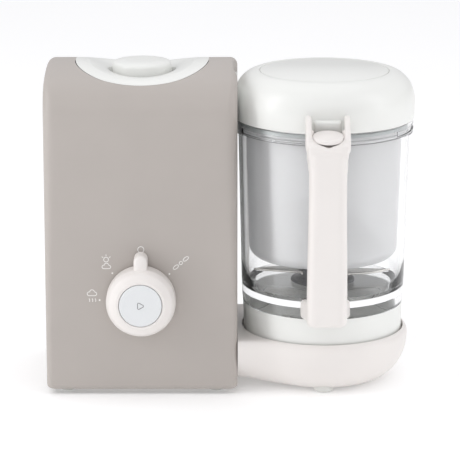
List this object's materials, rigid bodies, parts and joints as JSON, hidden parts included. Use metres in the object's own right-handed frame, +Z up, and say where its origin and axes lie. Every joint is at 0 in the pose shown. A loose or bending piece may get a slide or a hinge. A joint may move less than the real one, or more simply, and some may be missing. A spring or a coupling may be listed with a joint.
{
  "type": "baby food maker",
  "caption": "Countertop steamer and blender for baby food: grey tower with a selector knob and filler cap, clear bowl with handle, domed lid and steam basket on a low white base.",
  "frame": {"origin": "centre of the footprint's bounding box, on the surface that it stands on", "axes": "+X from the tower to the bowl, +Z up, -Y the front with the knob and the handle"},
  "size_m": [0.2934, 0.18, 0.2588],
  "materials": {
    "shell_grey": "satin moulded",
    "warm_white": "satin moulded",
    "cool_white": "soft gloss moulded",
    "clear": "clear moulded",
    "frosted": "translucent, frosted",
    "button_grey": "satin moulded",
    "dark_plastic": "satin moulded",
    "steel": "ground and polished",
    "inner_grey": "moulded",
    "motor_steel": "zinc plated",
    "board_green": "solder mask",
    "bush_bronze": "sintered",
    "soft_rubber": "soft, matt",
    "seal": "silicone, matt",
    "belt_rubber": "ribbed"
  },
  "bodies": {
    "housing": {"tower_shell": "shell_grey", "rear_shell": "shell_grey", "top_saddle": "cool_white", "water_tank": "steel", "heater_plate": "steel", "heater_ring": "steel", "thermal_cutout": "dark_plastic", "steam_tube": "seal", "steam_nozzle": "seal", "flank_panel": "cool_white", "chassis": "inner_grey", "control_board": "board_green", "rotary_switch": "dark_plastic", "cord_gland": "soft_rubber", "motor_can": "motor_steel", "motor_screws": "steel", "drive_belt": "belt_rubber", "spindle_bearings": "bush_bronze", "base_body": "warm_white", "seat_cover": "warm_white", "tower_cover": "warm_white", "cover_screws": "steel", "feet": "soft_rubber"},
    "filler_plug": {"cap_plug": "cool_white", "cap_seal": "seal"},
    "cap": {"tank_cap": "cool_white"},
    "selector": {"knob": "warm_white", "knob_shaft": "steel", "button_spring": "steel"},
    "button": {"start_button": "button_grey"},
    "rotor": {"motor_shaft": "steel", "motor_fan": "dark_plastic", "motor_pulley": "dark_plastic"},
    "spindle": {"driven_pulley": "dark_plastic", "drive_spindle": "steel", "drive_dog": "cool_white"},
    "bowl": {"bowl_glass": "clear", "bowl_collar": "cool_white", "shaft_bush": "bush_bronze", "shaft_seal": "seal", "handle": "warm_white", "handle_screws": "steel", "latch_spring": "steel"},
    "latch": {"latch_button": "warm_white"},
    "lid": {"lid_shell": "cool_white", "lid_disc": "cool_white", "lid_liner": "frosted", "lid_seal": "seal"},
    "basket": {"steam_basket": "frosted", "lifting_fin": "frosted"},
    "drive_shaft": {"blade_shaft": "steel", "bowl_dog": "dark_plastic"},
    "cutter": {"blade_hub": "dark_plastic", "blades": "steel"}
  },
  "joints": [
    {"name": "selector_turn", "type": "hinge", "parent": "housing", "child": "selector", "pos_m": [-0.0707, -0.039, 0.08], "axis": [0, 1, 0], "range_deg": [-92, 49]},
    {"name": "start_push", "type": "slide", "parent": "selector", "child": "button", "axis": [0, 1, 0], "range_m": [0, 0.002], "stiffness_N_per_m": 500, "springref_m": -0.002, "deforming": ["button_spring"]},
    {"name": "plug_lift", "type": "slide", "parent": "housing", "child": "filler_plug", "axis": [0, 0, 1], "range_m": [0, 0.05]},
    {"name": "cap_turn", "type": "hinge", "parent": "filler_plug", "child": "cap", "pos_m": [-0.0707, 0.0255, 0.253], "axis": [0, 0, 1], "range_deg": [0, 60]},
    {"name": "rotor_spin", "type": "hinge", "parent": "housing", "child": "rotor", "pos_m": [-0.04, 0.017, 0.06], "axis": [0, 0, 1], "continuous": true},
    {"name": "spindle_spin", "type": "hinge", "parent": "housing", "child": "spindle", "pos_m": [0.0744, 0.017, 0.03], "axis": [0, 0, 1], "continuous": true},
    {"name": "bowl_lift", "type": "slide", "parent": "housing", "child": "bowl", "axis": [0, 0, 1], "range_m": [0, 0.08]},
    {"name": "shaft_spin", "type": "hinge", "parent": "bowl", "child": "drive_shaft", "pos_m": [0.0744, 0.017, 0.07], "axis": [0, 0, 1], "continuous": true},
    {"name": "lid_lift", "type": "slide", "parent": "bowl", "child": "lid", "axis": [0, 0, 1], "range_m": [0, 0.18]},
    {"name": "basket_lift", "type": "slide", "parent": "bowl", "child": "basket", "axis": [0, 0, 1], "range_m": [0, 0.126]},
    {"name": "cutter_lift", "type": "slide", "parent": "drive_shaft", "child": "cutter", "axis": [0, 0, 1], "range_m": [0, 0.045]},
    {"name": "latch_press", "type": "slide", "parent": "bowl", "child": "latch", "axis": [0, 0.1564, -0.9877], "range_m": [0, 0.0025], "stiffness_N_per_m": 600, "springref_m": -0.002, "deforming": ["latch_spring"]}
  ],
  "couplings": [
    {"joint": "rotor_spin", "follows": "shaft_spin", "ratio": 3},
    {"joint": "spindle_spin", "follows": "shaft_spin", "ratio": 1},
    {"joint": "basket_lift", "follows": "lid_lift", "ratio": 0.7},
    {"joint": "cutter_lift", "follows": "lid_lift", "ratio": 0.25}
  ]
}
